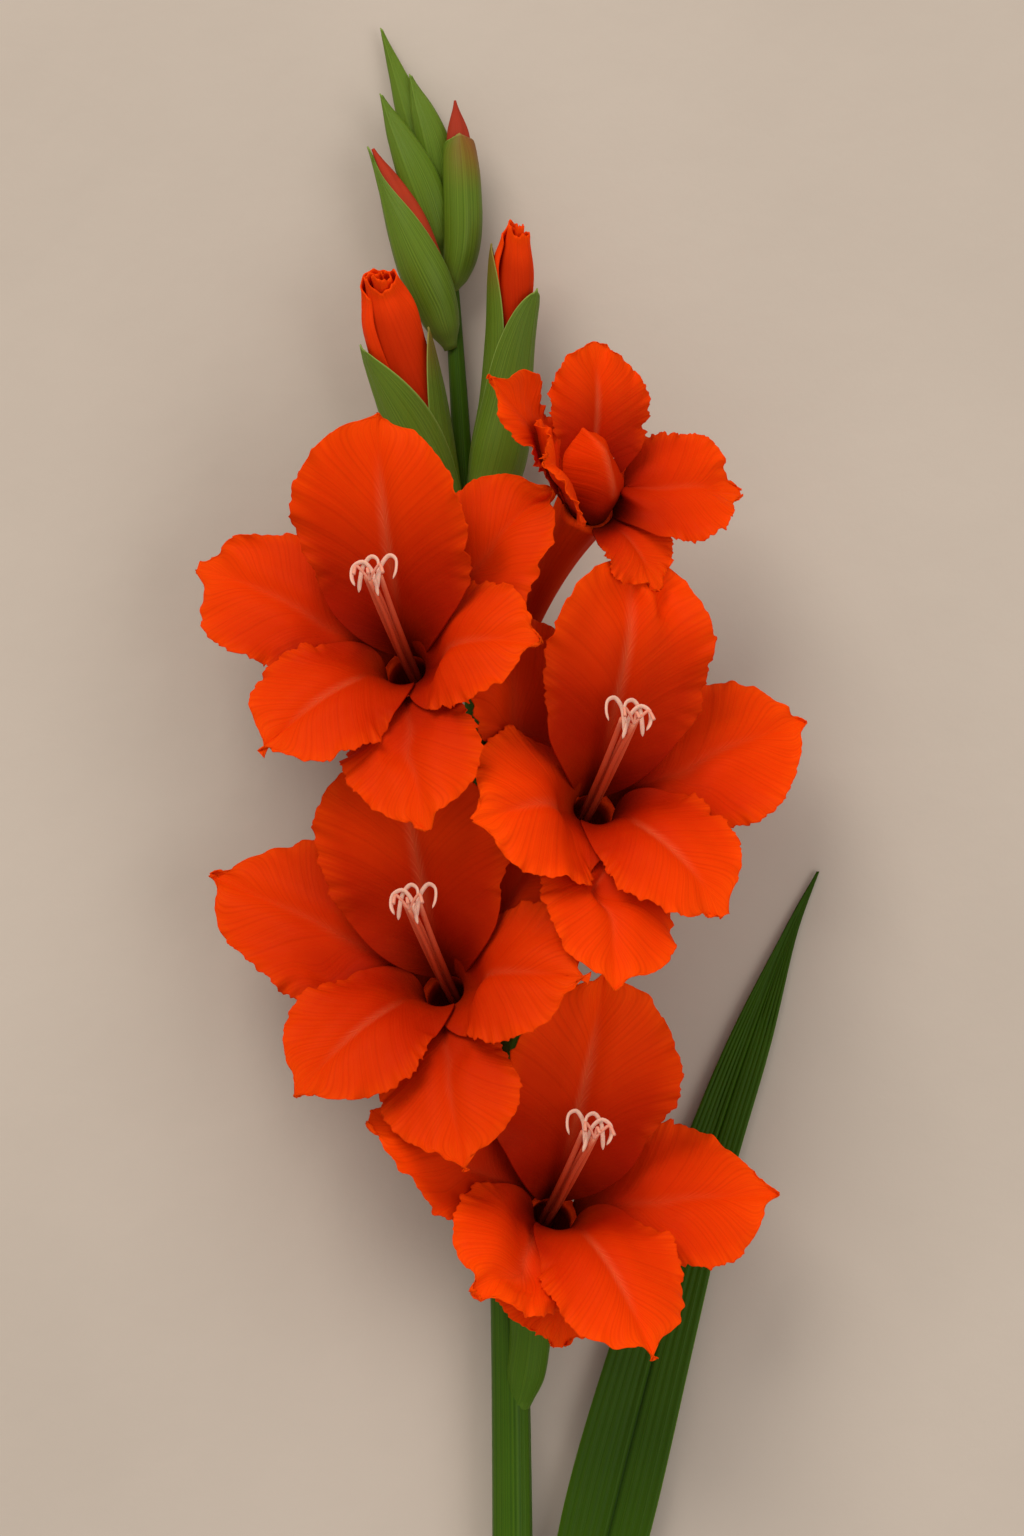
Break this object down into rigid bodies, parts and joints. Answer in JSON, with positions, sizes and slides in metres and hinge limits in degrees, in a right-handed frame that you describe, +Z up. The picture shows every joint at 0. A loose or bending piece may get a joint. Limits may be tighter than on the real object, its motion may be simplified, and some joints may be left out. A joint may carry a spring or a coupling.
{
  "type": "cut gladiolus",
  "caption": "Cut gladiolus spike lying on its back, with open orange-red florets, opening and closed buds, bracts, a leafy sheath and one sword-shaped leaf.",
  "frame": {"origin": "middle of the plan box, on the surface that the stem lies on", "axes": "+Y along the stem from the cut end to the tip, +Z up from the surface, towards the open flowers, +X to the side that the leaf leans to"},
  "size_m": [0.1756, 0.7042, 0.0837],
  "materials": {
    "petal": "satin orange-red petal tissue, faintly translucent",
    "tube": "satin dark red petal tissue",
    "stamen": "pale pink threads with cream anthers",
    "bud": "satin orange-red rolled petals",
    "bract": "waxy mid-green plant skin",
    "stem": "waxy green plant skin",
    "leaf": "dark green ribbed leaf, satin"
  },
  "bodies": {
    "root": {"floret_1_petal_upper": "petal", "floret_1_petal_lower_outer": "petal", "floret_1_petal_lower_inner": "petal", "floret_1_petal_side_outer": "petal", "floret_1_petal_side_inner": "petal", "floret_1_petal_lowest": "petal", "floret_1_tube": "tube", "floret_1_stamens": "stamen", "floret_1_bracts": "bract", "floret_2_petal_upper": "petal", "floret_2_petal_lower_outer": "petal", "floret_2_petal_lower_inner": "petal", "floret_2_petal_side_outer": "petal", "floret_2_petal_side_inner": "petal", "floret_2_petal_lowest": "petal", "floret_2_tube": "tube", "floret_2_stamens": "stamen", "floret_2_bracts": "bract", "floret_3_petal_upper": "petal", "floret_3_petal_lower_outer": "petal", "floret_3_petal_lower_inner": "petal", "floret_3_petal_side_outer": "petal", "floret_3_petal_side_inner": "petal", "floret_3_petal_lowest": "petal", "floret_3_tube": "tube", "floret_3_stamens": "stamen", "floret_3_bracts": "bract", "floret_4_petal_upper": "petal", "floret_4_petal_lower_outer": "petal", "floret_4_petal_lower_inner": "petal", "floret_4_petal_side_outer": "petal", "floret_4_petal_side_inner": "petal", "floret_4_petal_lowest": "petal", "floret_4_tube": "tube", "floret_4_stamens": "stamen", "floret_4_bracts": "bract", "floret_5_petal_upper": "petal", "floret_5_petal_lower_outer": "petal", "floret_5_petal_lower_inner": "petal", "floret_5_petal_side_outer": "petal", "floret_5_petal_side_inner": "petal", "floret_5_petal_lowest": "petal", "floret_5_tube": "tube", "floret_5_stamens": "stamen", "floret_5_bracts": "bract", "bud_6_petals": "bud", "bud_6_outer_bract": "bract", "bud_6_inner_bract": "bract", "bud_7_petals": "bud", "bud_7_outer_bract": "bract", "bud_7_inner_bract": "bract", "bud_8_petals": "bud", "bud_8_bract": "bract", "bud_9_petals": "bud", "bud_9_bract": "bract", "tip_bud_1": "bract", "tip_bud_2": "bract", "tip_bud_3": "bract", "stem": "stem", "leaf": "leaf"}
  },
  "joints": []
}
